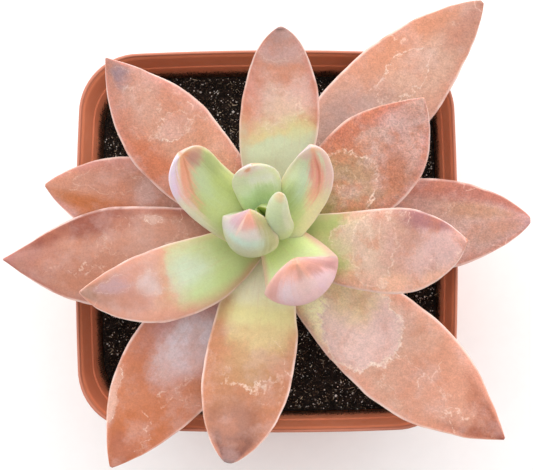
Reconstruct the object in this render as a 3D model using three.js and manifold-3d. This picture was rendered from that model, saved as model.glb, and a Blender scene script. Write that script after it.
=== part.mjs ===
// Potted golden sedum: a loose rosette of thick, pointed leaves on a short stem, growing from
// soil in a small square pot of terracotta-coloured plastic.
// Millimetres and degrees, Z up. The origin is the middle of the pot's underside, and +Y is
// the back of the plant. A leaf's bearing is measured from +X towards +Y.

import * as THREE from "three";
import { mergeVertices } from "three/addons/utils/BufferGeometryUtils.js";
import Module from "manifold-3d";

const wasm = await Module();
wasm.setup();

// Pot: thin moulded wall with a wider collar under the lip
const POT_HEIGHT = 62;
const RIM_HALF = 35;
const BASE_HALF = 24.9;
const WALL = 0.75;
const FLOOR = 1.6;
const LIP_ROUND = 0.35;
const COLLAR_HEIGHT = 7.5;
const COLLAR_TAPER = 1.15;
const COLLAR_STEP = 0.45;
const COLLAR_LEDGE = 0.2;
const RIM_CORNER = 11;
const BASE_CORNER = 7.5;
const SIDE_BULGE = 0.5;
const DRAIN_COUNT = 4;
const DRAIN_RADIUS = 3.2;
const DRAIN_REACH = 14;
const GROOVE_WIDTH = 3;
const GROOVE_DEPTH = 0.7;
const CENTRE_PAD = 7;

// Soil: fills the pot to below the collar, with a coarse, uneven top
const SOIL_LEVEL = 50.4;
const SOIL_BUMP = 0.8;
const CLEARANCE = 0.3;

// Stem: stands in a plain hole in the soil, leans a little as it climbs, and carries the leaves
const STEM_RADIUS = 4.2;
const STEM_TOP = 84.6;
const STEM_TOP_RADIUS = 1.7;
const STEM_LEAN = [0.8, 3.2];
const STEM_TAPER = 2.2;
const SCAR_COUNT = 7;
const SCAR_HEIGHT = 1.2;
const SCAR_WAIST = 0.97;
const ROOT_DEPTH = 24;
const ROOT_RADIUS = 1.6;
const HOLE_MARGIN = 0.45;

// Leaves, from the lowest and oldest to the youngest. Each one leaves the stem's axis at
// `height` above the soil towards `bearing`. It climbs at `riseBase` degrees and reaches
// `riseTip` at its tip, evenly where `late` is 1 and mostly near the tip where it is 2. It
// turns sideways by `bend` and twists by `roll` along its length. `neck` is its width at the
// stem as a share of its full width. `point` is 1 for a plain pointed tip, less for a rounder
// one and more for a drawn-out one. `widest` and `thickest` are the shares of its length at
// which it is widest and thickest.
const LEAF_COLUMNS =
  "name bearing height length width thick riseBase riseTip late bend roll neck point widest thickest"
    .split(" ");
const LEAF_TABLE = [
  ["leaf_01_left_back", 163, 13, 41.3, 17.1, 5.2, 8, 16, 2, 8, 0, 0.3, 0.92, 0.55, 0.35],
  ["leaf_02_right", 5.4, 12.5, 48, 17, 5.4, 6, 10, 2, -4, 0, 0.3, 0.76, 0.56, 0.35],
  ["leaf_03_front_left", 231.8, 13.5, 50.2, 18.3, 5.6, 4, 8, 2, 9, 0, 0.27, 0.95, 0.56, 0.35],
  ["leaf_04_right_back", 51.5, 15.5, 57.2, 18, 5.8, 6, 8, 2, -9.5, 0, 0.3, 0.82, 0.5, 0.35],
  ["leaf_05_left", 193.5, 17.5, 47.4, 18, 5.6, 8, 6, 2, -16, 0, 0.3, 1.15, 0.55, 0.35],
  ["leaf_06_front_right", -44, 16, 56, 18.3, 5.8, 8, 5, 2, 7, 0, 0.25, 1, 0.58, 0.35],
  ["leaf_07_left_back_top", 138.5, 21, 42, 15.8, 5.6, 14, 20, 2, -12, 0, 0.35, 1.05, 0.55, 0.35],
  ["leaf_08_front", 266.3, 20, 42.5, 15.8, 5.6, 16, 22, 2, -10, 0, 0.35, 0.65, 0.57, 0.35],
  ["leaf_09_right_back_top", 21.5, 20.5, 39.5, 16.9, 5.8, 20, 36, 2, 36, 0, 0.35, 1, 0.6, 0.35],
  ["leaf_10_back", 78.3, 24.5, 37.2, 13.6, 5.6, 22, 36, 2, 13, 0, 0.4, 0.65, 0.55, 0.35],
  ["leaf_11_left_front", 223, 23.5, 38.8, 13, 5.8, 22, 48, 2, -48, 0, 0.35, 0.85, 0.5, 0.35],
  ["leaf_12_right_top", -22, 24.5, 41, 14.5, 5.8, 24, 50, 2, 36, 0, 0.3, 0.8, 0.62, 0.35],
  ["leaf_13_upright_left", 164.5, 28.5, 28.8, 10.4, 6.4, 33, 82, 1.5, -57, 28, 1.1, 0.57, 0.55, 0.45],
  ["leaf_14_upright_front", 311, 28, 26.4, 13.7, 8.8, 18, 132, 1.25, -25, 5, 0.36, 0.6, 0.67, 0.6],
  ["leaf_15_upright_back", 102, 31.5, 19, 8.2, 4.4, 42, 86, 1, 0, 0, 0.6, 0.75, 0.55, 0.35],
  ["leaf_16_upright_right", 18, 29, 28, 8.6, 5.6, 40, 82, 1.5, 92, 0, 1.5, 0.78, 0.4, 0.35],
  ["leaf_17_heart_front", 214, 31, 16.5, 10.4, 7, 40, 138, 0.9, 66, -18, 0.5, 0.8, 0.6, 0.6],
  ["leaf_18_heart_right", 338, 32, 20.8, 4.4, 2.9, 9, 140, 0.5, -92, -6, 0.7, 0.42, 0.6, 0.6],
];
const LEAVES = LEAF_TABLE.map((row) =>
  Object.fromEntries(LEAF_COLUMNS.map((column, i) => [column, row[i]])),
);
const THICK_AT_STEM = 0.62;
const TIP_THINNING = 0.82;
const BELOW_SHARE = 0.7;
const EDGE_SHARPNESS = 1.3;
const TIP_AT = 0.995;
const LEAF_RINGS = 13;
const RING_CROWDING = 1.4;
const LEAF_SIDES = 14;
const SPINE_STEPS = 60;

// Bud: the growing tip of the stem, a small dome with the first tiny leaves round it
const BUD_RADIUS = 1.6;
const BUD_HEIGHT = 2.2;
const BUD_SIDES = 10;
const BUD_LEAF = {
  length: 5,
  width: 3.2,
  thick: 1.9,
  riseBase: 58,
  riseTip: 96,
  late: 1,
  bend: 0,
  roll: 0,
  neck: 0.6,
  point: 0.7,
  widest: 0.55,
  thickest: 0.35,
};
const BUD_BEARINGS = [75, 195, 315];
const BUD_LEAF_RINGS = 6;
const BUD_LEAF_SIDES = 8;

const radians = THREE.MathUtils.degToRad;

// A closed surface through rings of points, with a fan over the first and the last ring.
function skin(rings) {
  const sides = rings[0].length;
  const points = rings.flat();
  const middle = (ring) =>
    ring.reduce((sum, p) => sum.add(p), new THREE.Vector3()).divideScalar(sides);
  const first = points.push(middle(rings[0])) - 1;
  const last = points.push(middle(rings.at(-1))) - 1;
  const top = (rings.length - 1) * sides;
  const index = [];
  for (let i = 0; i < sides; i++) {
    const next = (i + 1) % sides;
    index.push(first, next, i);
    index.push(last, top + i, top + next);
    for (let r = 0; r < rings.length - 1; r++) {
      const [a, b] = [r * sides + i, r * sides + next];
      const [c, d] = [a + sides, b + sides];
      index.push(a, b, d, a, d, c);
    }
  }
  const geometry = new THREE.BufferGeometry().setFromPoints(points);
  geometry.setIndex(index);
  return geometry;
}

function solidOf(geometry) {
  const bare = geometry.clone();
  bare.deleteAttribute("normal");
  bare.deleteAttribute("uv");
  const merged = mergeVertices(bare, 1e-4);
  return new wasm.Manifold(
    new wasm.Mesh({
      numProp: 3,
      vertProperties: merged.attributes.position.array,
      triVerts: new Uint32Array(merged.index.array),
    }),
  );
}

function geometryOf(solid) {
  const mesh = solid.getMesh();
  const geometry = new THREE.BufferGeometry();
  geometry.setAttribute("position", new THREE.BufferAttribute(mesh.vertProperties, 3));
  geometry.setIndex(new THREE.BufferAttribute(mesh.triVerts, 1));
  geometry.computeVertexNormals();
  return geometry;
}

// One level of the pot or the soil: a square with round corners and slightly bowed sides.
const SIDE_STEPS = 4;
const CORNER_STEPS = 6;
function squareRing(half, corner, z) {
  const bulge = (SIDE_BULGE * half) / RIM_HALF;
  const straight = half - bulge - corner;
  const side = [];
  for (let i = 0; i < SIDE_STEPS; i++) {
    const s = (2 * i) / SIDE_STEPS - 1;
    side.push([half - bulge * s * s, s * straight]);
  }
  for (let i = 0; i < CORNER_STEPS; i++) {
    const a = ((i / CORNER_STEPS) * Math.PI) / 2;
    side.push([straight + corner * Math.cos(a), straight + corner * Math.sin(a)]);
  }
  const turned = [
    ([x, y]) => [x, y],
    ([x, y]) => [-y, x],
    ([x, y]) => [-x, -y],
    ([x, y]) => [y, -x],
  ];
  return turned.flatMap((turn) =>
    side.map((p) => new THREE.Vector3(...turn(p), z)),
  );
}

// The corner radius shrinks with the pot's taper.
function potRing(half, z) {
  const share = (half - BASE_HALF) / (RIM_HALF - BASE_HALF);
  return squareRing(half, THREE.MathUtils.lerp(BASE_CORNER, RIM_CORNER, share), z);
}

const COLLAR_FOOT = POT_HEIGHT - COLLAR_HEIGHT;
const BODY_TOP_HALF = RIM_HALF - COLLAR_TAPER - COLLAR_STEP;
const BODY_SLOPE = (BODY_TOP_HALF - BASE_HALF) / COLLAR_FOOT;
const bodyHalf = (z) => BASE_HALF + BODY_SLOPE * z;

function potGeometry() {
  const wall = solidOf(
    skin([
      potRing(BASE_HALF - LIP_ROUND, 0),
      potRing(BASE_HALF + BODY_SLOPE * LIP_ROUND, LIP_ROUND),
      potRing(BODY_TOP_HALF, COLLAR_FOOT),
      potRing(RIM_HALF - COLLAR_TAPER, COLLAR_FOOT + COLLAR_LEDGE),
      potRing(RIM_HALF, POT_HEIGHT - LIP_ROUND),
      potRing(RIM_HALF - LIP_ROUND / 2, POT_HEIGHT),
      potRing(RIM_HALF - WALL + LIP_ROUND / 2, POT_HEIGHT),
      potRing(RIM_HALF - WALL, POT_HEIGHT - LIP_ROUND),
      potRing(RIM_HALF - WALL - COLLAR_TAPER, COLLAR_FOOT + COLLAR_LEDGE),
      potRing(BODY_TOP_HALF - WALL, COLLAR_FOOT - COLLAR_LEDGE),
      potRing(bodyHalf(FLOOR) - WALL, FLOOR),
    ]),
  );
  const cutters = [];
  for (let k = 0; k < DRAIN_COUNT; k++) {
    const a = (2 * Math.PI * k) / DRAIN_COUNT;
    const drain = new THREE.CylinderGeometry(DRAIN_RADIUS, DRAIN_RADIUS, 3 * FLOOR, 20);
    drain.rotateX(Math.PI / 2);
    drain.translate(DRAIN_REACH * Math.cos(a), DRAIN_REACH * Math.sin(a), FLOOR);
    const length = BASE_HALF + 5 - CENTRE_PAD;
    const groove = new THREE.BoxGeometry(length, GROOVE_WIDTH, 2 * GROOVE_DEPTH);
    groove.translate(CENTRE_PAD + length / 2, 0, 0);
    groove.rotateZ(a);
    cutters.push(solidOf(drain), solidOf(groove));
  }
  return geometryOf(cutters.reduce((pot, cutter) => pot.subtract(cutter), wall));
}

// Height of the soil's lumps above or below its level, by a fixed formula.
function grain(x, y) {
  const wave = Math.sin(x * 1.7 + Math.sin(y * 1.3) * 2) * Math.cos(y * 1.9 + Math.sin(x * 0.9) * 2);
  const speck = Math.sin(x * 12.9898 + y * 78.233) * 43758.5453;
  return SOIL_BUMP * (0.45 * wave + 0.9 * (speck - Math.floor(speck) - 0.5));
}

const SOIL_RINGS = 11;
function soilGeometry() {
  const inside = (z) => bodyHalf(z) - WALL - CLEARANCE;
  const bottom = FLOOR + CLEARANCE;
  const holeRadius = STEM_RADIUS + HOLE_MARGIN;
  const holeFoot = SOIL_LEVEL - ROOT_DEPTH - CLEARANCE;
  const outer = potRing(inside(SOIL_LEVEL), SOIL_LEVEL);
  const onCircle = (p, radius, z) =>
    new THREE.Vector3(p.x, p.y, 0).setLength(radius).setZ(z);
  const rings = [
    potRing(inside(bottom), bottom),
    potRing(inside(SOIL_LEVEL), SOIL_LEVEL - CLEARANCE),
  ];
  for (let i = 1; i < SOIL_RINGS; i++) {
    const inward = i / (SOIL_RINGS - 1);
    rings.push(
      outer.map((p) => {
        const q = p.clone().lerp(onCircle(p, holeRadius, SOIL_LEVEL), inward);
        return q.setZ(SOIL_LEVEL + grain(q.x, q.y));
      }),
    );
  }
  rings.push(outer.map((p) => onCircle(p, ROOT_RADIUS + HOLE_MARGIN, holeFoot)));
  return skin(rings);
}

// A point on the stem's axis, which leans more and more above the soil.
function axisAt(z) {
  const up = Math.max(0, z - SOIL_LEVEL) / (STEM_TOP - SOIL_LEVEL);
  return new THREE.Vector3(STEM_LEAN[0] * up ** 2, STEM_LEAN[1] * up ** 2, z);
}

// The stem swells a little at each leaf scar, and narrows to a root below the soil. `extra`
// grows it all round.
const STEM_SIDES = 16;
function stemSolid(extra) {
  const soilTop = SOIL_LEVEL + SOIL_BUMP;
  const levels = [
    [SOIL_LEVEL - ROOT_DEPTH, ROOT_RADIUS],
    [SOIL_LEVEL - ROOT_DEPTH * 0.4, STEM_RADIUS * 0.7],
    [soilTop, STEM_RADIUS * 0.95],
  ];
  for (let i = 1; i <= SCAR_COUNT; i++) {
    const up = i / SCAR_COUNT;
    const z = soilTop + up * (STEM_TOP - soilTop);
    const radius = THREE.MathUtils.lerp(STEM_RADIUS, STEM_TOP_RADIUS, up ** STEM_TAPER);
    levels.push([z - SCAR_HEIGHT, radius * SCAR_WAIST], [z, radius]);
  }
  const rings = levels.map(([z, radius], row) => {
    const end = row === 0 ? -extra : row === levels.length - 1 ? extra : 0;
    const { x, y } = axisAt(z);
    const ring = [];
    for (let i = 0; i < STEM_SIDES; i++) {
      const a = (2 * Math.PI * i) / STEM_SIDES;
      const r = radius + extra;
      ring.push(new THREE.Vector3(x + r * Math.cos(a), y + r * Math.sin(a), z + end));
    }
    return ring;
  });
  return solidOf(skin(rings));
}

// Where a leaf's middle line runs, from its base to its tip, with the way across the leaf
// and the way out of its upper face at each step.
function spine(leaf, base) {
  const at = base.clone();
  const path = [];
  for (let i = 0; i <= SPINE_STEPS; i++) {
    const t = i / SPINE_STEPS;
    const rise = radians(THREE.MathUtils.lerp(leaf.riseBase, leaf.riseTip, t ** leaf.late));
    const bearing = radians(leaf.bearing + leaf.bend * t);
    const along = new THREE.Vector3(
      Math.cos(rise) * Math.cos(bearing),
      Math.cos(rise) * Math.sin(bearing),
      Math.sin(rise),
    );
    const across = new THREE.Vector3(-Math.sin(bearing), Math.cos(bearing), 0);
    across.applyAxisAngle(along, radians(leaf.roll * t));
    path.push({ at: at.clone(), along, across, up: along.clone().cross(across) });
    at.addScaledVector(along, leaf.length / SPINE_STEPS);
  }
  return path;
}

// The outline: from its neck at the stem to its widest place, and closing from there to the tip.
function halfWidth(leaf, t) {
  if (t < leaf.widest) {
    const swell = Math.sin((Math.PI / 2) * (t / leaf.widest));
    return (leaf.width / 2) * (leaf.neck + (1 - leaf.neck) * swell);
  }
  const beyond = (t - leaf.widest) / (1 - leaf.widest);
  return (leaf.width / 2) * Math.max(0, 1 - beyond * beyond) ** leaf.point;
}

// Thinner at the stem than at its thickest place, and thinnest at the tip.
function thickness(leaf, t) {
  const swell = Math.sin((Math.PI / 2) * Math.min(2, t / leaf.thickest));
  const belly = THREE.MathUtils.lerp(THICK_AT_STEM, 1, swell);
  return leaf.thick * belly * (1 - TIP_THINNING * t ** 3);
}

// A leaf: nearly flat above, rounded to a blunt keel below, with fairly sharp edges. Its rings
// crowd towards the tip. `extra` grows it all round.
function leafSolid(leaf, base, extra = 0, rows = LEAF_RINGS, sides = LEAF_SIDES) {
  const path = spine(leaf, base);
  const rings = [];
  for (let r = 0; r <= rows; r++) {
    const t = (1 - (1 - r / rows) ** RING_CROWDING) * TIP_AT;
    const { at, along, across, up } = path[Math.round(t * SPINE_STEPS)];
    const half = halfWidth(leaf, t);
    const thick = Math.min(thickness(leaf, t), 2 * half);
    const middle = r === 0 ? at.clone().addScaledVector(along, -extra) : at;
    const ring = [];
    for (let i = 0; i < sides; i++) {
      const a = (2 * Math.PI * i) / sides;
      const lift = Math.sin(a);
      const share = lift > 0 ? 1 - BELOW_SHARE : BELOW_SHARE;
      const x = (half + extra) * Math.cos(a);
      const z = Math.sign(lift) * Math.abs(lift) ** EDGE_SHARPNESS * (share * thick + extra);
      ring.push(middle.clone().addScaledVector(across, x).addScaledVector(up, z));
    }
    rings.push(ring);
  }
  return solidOf(skin(rings));
}

// The bud stands on the flat top of the stem. `extra` grows it all round.
function budSolid(extra) {
  const foot = axisAt(STEM_TOP).setZ(STEM_TOP + CLEARANCE);
  const dome = [0, 0.5, 0.85].map((up) => {
    const r = BUD_RADIUS * Math.sqrt(1 - up * up) + extra;
    const z = up * (BUD_HEIGHT + 2 * extra) - extra;
    const ring = [];
    for (let i = 0; i < BUD_SIDES; i++) {
      const a = (2 * Math.PI * i) / BUD_SIDES;
      ring.push(foot.clone().add(new THREE.Vector3(r * Math.cos(a), r * Math.sin(a), z)));
    }
    return ring;
  });
  const base = foot.clone().setZ(foot.z + 0.45 * BUD_HEIGHT);
  const leaves = BUD_BEARINGS.map((bearing) => {
    return leafSolid({ ...BUD_LEAF, bearing }, base, extra, BUD_LEAF_RINGS, BUD_LEAF_SIDES);
  });
  return leaves.reduce((bud, leaf) => bud.add(leaf), solidOf(skin(dome)));
}

const COLOURS = {
  pot: 0xb5563a,
  soil: 0x1c1410,
  stem: 0x8f8a5a,
  outer: 0xdca48a,
  middle: 0xd8b088,
  inner: 0xbccf96,
};
const finish = (color, roughness) =>
  new THREE.MeshStandardMaterial({ color, roughness, metalness: 0 });

const plant = new THREE.Group();
function add(name, geometry, material) {
  const mesh = new THREE.Mesh(geometry, material);
  mesh.name = name;
  plant.add(mesh);
}

add("pot", potGeometry(), finish(COLOURS.pot, 0.45));
add("soil", soilGeometry(), finish(COLOURS.soil, 0.95));
add("stem", geometryOf(stemSolid(0)), finish(COLOURS.stem, 0.6));
add("bud", geometryOf(budSolid(0)), finish(COLOURS.inner, 0.5));

// Each leaf ends where it meets the stem's surface, and its base is pressed to shape by the
// younger leaves above it and by the bud.
const OUTER_LEAVES = 7;
const MIDDLE_LEAVES = 5;
const baseOf = (leaf) => axisAt(SOIL_LEVEL + leaf.height);
const carriers = [stemSolid(CLEARANCE), budSolid(CLEARANCE)];
const pressed = LEAVES.map((leaf) => leafSolid(leaf, baseOf(leaf), CLEARANCE));
LEAVES.forEach((leaf, place) => {
  const kind =
    place < OUTER_LEAVES ? "outer" : place < OUTER_LEAVES + MIDDLE_LEAVES ? "middle" : "inner";
  const cutters = [...carriers, ...pressed.slice(place + 1)];
  const whole = leafSolid(leaf, baseOf(leaf));
  const pieces = cutters.reduce((left, cutter) => left.subtract(cutter), whole).decompose();
  const blade = pieces.sort((a, b) => b.volume() - a.volume())[0];
  add(leaf.name, geometryOf(blade), finish(COLOURS[kind], 0.5));
});

export default plant;
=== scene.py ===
# Potted golden sedum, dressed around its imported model. Everything is in metres in the model's
# own frame. Sizes are written in millimetres and MM turns them into metres.
import math
import random

import bpy
import numpy as np
from mathutils import Matrix, Vector, noise


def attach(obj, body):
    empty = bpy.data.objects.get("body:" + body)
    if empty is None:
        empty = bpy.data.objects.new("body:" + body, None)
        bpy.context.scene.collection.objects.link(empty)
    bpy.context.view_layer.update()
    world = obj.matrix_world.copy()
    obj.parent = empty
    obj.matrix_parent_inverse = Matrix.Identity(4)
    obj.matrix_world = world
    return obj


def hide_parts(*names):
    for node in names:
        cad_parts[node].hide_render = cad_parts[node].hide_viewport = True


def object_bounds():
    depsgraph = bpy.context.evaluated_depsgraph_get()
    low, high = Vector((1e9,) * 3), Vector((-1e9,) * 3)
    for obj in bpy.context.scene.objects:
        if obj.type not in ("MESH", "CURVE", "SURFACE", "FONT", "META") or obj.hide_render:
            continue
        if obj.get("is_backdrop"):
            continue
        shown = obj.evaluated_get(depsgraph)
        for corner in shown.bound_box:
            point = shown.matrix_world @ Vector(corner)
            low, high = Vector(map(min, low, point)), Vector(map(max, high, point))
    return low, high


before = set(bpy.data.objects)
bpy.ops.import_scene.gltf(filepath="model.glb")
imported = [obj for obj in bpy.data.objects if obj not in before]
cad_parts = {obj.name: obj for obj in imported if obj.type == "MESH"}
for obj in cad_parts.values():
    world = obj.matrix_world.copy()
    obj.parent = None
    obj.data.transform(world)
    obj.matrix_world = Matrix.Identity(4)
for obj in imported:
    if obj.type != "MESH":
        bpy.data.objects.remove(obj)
cad_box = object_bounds()
MM = 0.001


# The pot. A square nursery pot, injection-moulded in terracotta-coloured plastic, with bowed
# sides, round corners, a wider collar under a rounded lip, and drain holes with grooves under it.
POT_HEIGHT = 62
RIM_HALF = 35
RIM_CORNER = 11
BASE_HALF = 24.9
BASE_CORNER = 7.5
SIDE_BULGE = 0.5
WALL = 0.75
FLOOR = 1.6
FOOT_RADIUS = 0.35
LIP_RADIUS = 0.27
COLLAR_HEIGHT = 7.5
COLLAR_TAPER = 1.15
COLLAR_STEP = 0.45
COLLAR_ROUND = 0.28
DRAIN_COUNT = 4
DRAIN_RADIUS = 3.2
DRAIN_REACH = 14
GROOVE_WIDTH = 3
GROOVE_DEPTH = 0.7
GROOVE_OVERRUN = 5
CENTRE_PAD = 7
CREASE_ANGLE = 38
COLLAR_FOOT = POT_HEIGHT - COLLAR_HEIGHT
LEDGE = COLLAR_FOOT + 1.4
LEDGE_WIDTH = 0.22
BODY_TOP_HALF = RIM_HALF - COLLAR_TAPER - COLLAR_STEP
BODY_SLOPE = (BODY_TOP_HALF - BASE_HALF) / COLLAR_FOOT
# Heights on the wall between which a colour sets in.
LIP_TINT = (POT_HEIGHT - 0.5, POT_HEIGHT - 0.3)
SMEARED = (55.2, 51)
DUSTY = (50.3, 47.6)
ABOVE_SOIL = (49, 50)
DUST_RAGGED = 7


def body_half(z):
    return BASE_HALF + BODY_SLOPE * z


def pot_level(half, z, side_steps=20, corner_steps=14):
    """One level of the pot: a square with round corners and slightly bowed sides."""
    share = (half - BASE_HALF) / (RIM_HALF - BASE_HALF)
    corner = BASE_CORNER + share * (RIM_CORNER - BASE_CORNER)
    bulge = SIDE_BULGE * half / RIM_HALF
    straight = half - bulge - corner
    s = np.linspace(-1, 1, side_steps, endpoint=False)
    a = np.linspace(0, np.pi / 2, corner_steps, endpoint=False)
    x = np.concatenate([half - bulge * s**2, straight + corner * np.cos(a)])
    y = np.concatenate([s * straight, straight + corner * np.sin(a)])
    turned = [(x, y), (-y, x), (-x, -y), (y, -x)]
    return np.vstack([np.column_stack([u, v, np.full(len(u), z)]) for u, v in turned])


def loft(levels):
    """Points and faces of a closed skin through rings of points."""
    count, sides = len(levels), len(levels[0])
    points = np.vstack([*levels, levels[0].mean(0), levels[-1].mean(0)])
    row, side = np.meshgrid(np.arange(count - 1), np.arange(sides), indexing="ij")
    a = (row * sides + side).ravel()
    b = (row * sides + (side + 1) % sides).ravel()
    faces = np.column_stack([a, b, b + sides, a + sides]).tolist()
    first, top = count * sides, (count - 1) * sides
    for i in range(sides):
        j = (i + 1) % sides
        faces.append([first, j, i])
        faces.append([first + 1, top + i, top + j])
    return points, faces


def make_piece(name, points, faces, material, values=None):
    """A mesh piece from millimetre points, riding on the plant's one body."""
    mesh = bpy.data.meshes.new(name)
    mesh.from_pydata((np.asarray(points) * MM).tolist(), [], faces)
    for key, numbers in (values or {}).items():
        layer = mesh.attributes.new(key, "FLOAT", "POINT")
        layer.data.foreach_set("value", np.asarray(numbers, np.float32))
    mesh.shade_smooth()
    mesh.materials.append(material)
    piece = bpy.data.objects.new(name, mesh)
    bpy.context.scene.collection.objects.link(piece)
    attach(piece, "root")
    return piece


def paint(code):
    """Linear colour of a six-digit paint code."""
    parts = [int(code[i : i + 2], 16) / 255 for i in (0, 2, 4)]
    return [c / 12.92 if c <= 0.04045 else ((c + 0.055) / 1.055) ** 2.4 for c in parts] + [1]


def put(tree, kind, sockets=None, **settings):
    """Adds a node, with its settings, and values or links for its sockets."""
    made = tree.nodes.new(kind)
    for key, value in settings.items():
        setattr(made, key, value)
    for socket, value in (sockets or {}).items():
        if isinstance(value, bpy.types.NodeSocket):
            tree.links.new(value, made.inputs[socket])
        else:
            made.inputs[socket].default_value = value
    return made


def mix(tree, share, a, b):
    """Colour a, turning to b as share goes from 0 to 1."""
    return put(tree, "ShaderNodeMix", {0: share, 6: a, 7: b}, data_type="RGBA").outputs[2]


def sums(tree, how, first, *others):
    """Works one sum through two or more values, or on a single one."""
    for other in others or (0.0,):
        first = put(tree, "ShaderNodeMath", {0: first, 1: other}, operation=how).outputs[0]
    return first


def times(tree, *values):
    return sums(tree, "MULTIPLY", *values)


def plus(tree, *values):
    return sums(tree, "ADD", *values)


def minus(tree, *values):
    return sums(tree, "SUBTRACT", *values)


def between(tree, value, low, high, start=0.0, end=1.0):
    """start where value is at low or before it, end at high or beyond, smooth between."""
    sockets = {"Value": value, "From Min": low, "From Max": high, "To Min": start, "To Max": end}
    made = put(tree, "ShaderNodeMapRange", sockets, interpolation_type="SMOOTHSTEP")
    return made.outputs[0]


def mottle(tree, where, scale, detail=3.0, roughness=0.55):
    """Soft cloudy noise, finer with a larger scale."""
    sockets = {"Vector": where, "Scale": scale, "Detail": detail, "Roughness": roughness}
    return put(tree, "ShaderNodeTexNoise", sockets).outputs["Fac"]


def new_material(name, roughness=0.5, **uniform):
    """An empty material with its shader, its node tree and its object coordinates."""
    material = bpy.data.materials.new(name)
    material.use_nodes = True
    tree = material.node_tree
    shader = tree.nodes["Principled BSDF"]
    shader.inputs["Roughness"].default_value = roughness
    for key, value in uniform.items():
        shader.inputs[key.replace("_", " ")].default_value = value
    where = put(tree, "ShaderNodeTexCoord").outputs["Object"]
    return material, tree, shader, where


def finish_with(tree, shader, colour, roughness, height, strength, depth):
    """Wires a material's colour, roughness and bump into its shader. The depth is in metres."""
    tree.links.new(colour, shader.inputs["Base Color"])
    tree.links.new(roughness, shader.inputs["Roughness"])
    sockets = {"Height": height, "Strength": strength, "Distance": depth}
    normal = put(tree, "ShaderNodeBump", sockets).outputs["Normal"]
    tree.links.new(normal, shader.inputs["Normal"])


def pot_plastic():
    """Terracotta-coloured plastic: flow streaks, a redder lip, and soil smears and dust inside."""
    material, tree, shader, where = new_material("terracotta plastic", Specular_IOR_Level=0.45)
    plain, deep, streaked, lip_red = (paint(c) for c in ("fa9d76", "ef8d67", "f8b896", "c47a60"))
    outside, smear, peat = (paint(c) for c in ("cf7550", "7a442f", "1a110b"))
    cloud = mottle(tree, where, 90, 4)
    colour = mix(tree, between(tree, cloud, 0.2, 0.9), plain, deep)
    streak_at = put(tree, "ShaderNodeMapping", {"Vector": where, "Scale": (60, 60, 900)})
    streak = mottle(tree, streak_at.outputs[0], 4, 3)
    colour = mix(tree, between(tree, streak, 0.55, 0.75, 0, 0.22), colour, streaked)

    height = put(tree, "ShaderNodeSeparateXYZ", {0: where}).outputs["Z"]
    lip, low, bare = (
        between(tree, height, a * MM, b * MM) for a, b in (LIP_TINT, SMEARED, ABOVE_SOIL)
    )
    colour = mix(tree, lip, colour, lip_red)
    normal = put(tree, "ShaderNodeNewGeometry").outputs["Normal"]
    outward = put(tree, "ShaderNodeVectorMath", {0: normal, 1: where}, operation="DOT_PRODUCT")
    facing_in = between(tree, outward.outputs["Value"], 0.0, -0.004)
    facing_out = minus(tree, 1.0, facing_in)
    colour = mix(tree, times(tree, facing_out, minus(tree, 1.0, lip), 0.7), colour, outside)

    crumbs = between(tree, mottle(tree, where, 420, 5), 0.4, 0.62)
    colour = mix(tree, times(tree, low, bare, crumbs, facing_in, 0.6), colour, smear)
    ragged = times(tree, mottle(tree, where, 2400, 3, 0.8), DUST_RAGGED * MM)
    dusty = between(tree, minus(tree, height, ragged), DUSTY[0] * MM, DUSTY[1] * MM)
    colour = mix(tree, times(tree, dusty, bare, facing_in, 0.9), colour, peat)
    rough = between(tree, mottle(tree, where, 600, 3), 0.3, 0.7, 0.34, 0.5)
    finish_with(tree, shader, colour, rough, mottle(tree, where, 3500, 2), 0.12, 0.1 * MM)
    return material


def pot_profile():
    """Half widths and heights round the wall: up the outside, over the lip, down the inside."""
    quarter = [math.radians(a) for a in range(0, 91, 15)]
    foot = FOOT_RADIUS
    profile = [(BASE_HALF - foot * (1 - math.sin(a)), foot * (1 - math.cos(a))) for a in quarter]
    profile += [(body_half(z), z) for z in np.linspace(1, COLLAR_FOOT - 0.1, 14)]
    collar_half = RIM_HALF - COLLAR_TAPER
    collar_low = COLLAR_FOOT + COLLAR_ROUND
    profile += [(BODY_TOP_HALF + 0.04, COLLAR_FOOT), (collar_half - 0.1, COLLAR_FOOT + 0.12)]
    profile += [(collar_half, collar_low)]
    lip = LIP_RADIUS
    lip_foot = POT_HEIGHT - lip
    for up in (0.25, 0.5, 0.75, 0.96):
        profile.append((RIM_HALF - COLLAR_TAPER * (1 - up), collar_low + up * (lip_foot - collar_low)))
    for a in range(0, 181, 15):
        turn = math.radians(a)
        profile.append((RIM_HALF - lip + lip * math.cos(turn), lip_foot + lip * math.sin(turn)))
    inner = body_half(LEDGE) - WALL
    taper = RIM_HALF - WALL - inner - LEDGE_WIDTH
    for up in (0.95, 0.75, 0.5, 0.25, 0.06):
        z = LEDGE + 0.2 + up * (lip_foot - LEDGE - 0.2)
        profile.append((RIM_HALF - WALL - taper * (1 - up), z))
    for share, above in ((0.95, 0.1), (0.7, 0.02), (0.3, 0), (0.05, -0.06)):
        profile.append((inner + share * LEDGE_WIDTH, LEDGE + above))
    profile += [(body_half(z) - WALL, z) for z in np.linspace(LEDGE - 0.3, FLOOR, 15)]
    return profile


def cut_away(piece, cutters):
    """Cuts plain shapes out of a piece, and then removes the shapes."""
    for cutter in cutters:
        cut = piece.modifiers.new("cut", "BOOLEAN")
        cut.operation = "DIFFERENCE"
        cut.solver = "EXACT"
        cut.object = cutter
    bpy.context.view_layer.update()
    graph = bpy.context.evaluated_depsgraph_get()
    mesh = bpy.data.meshes.new_from_object(piece.evaluated_get(graph))
    piece.modifiers.clear()
    piece.data = mesh
    for cutter in cutters:
        bpy.data.objects.remove(cutter)


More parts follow.
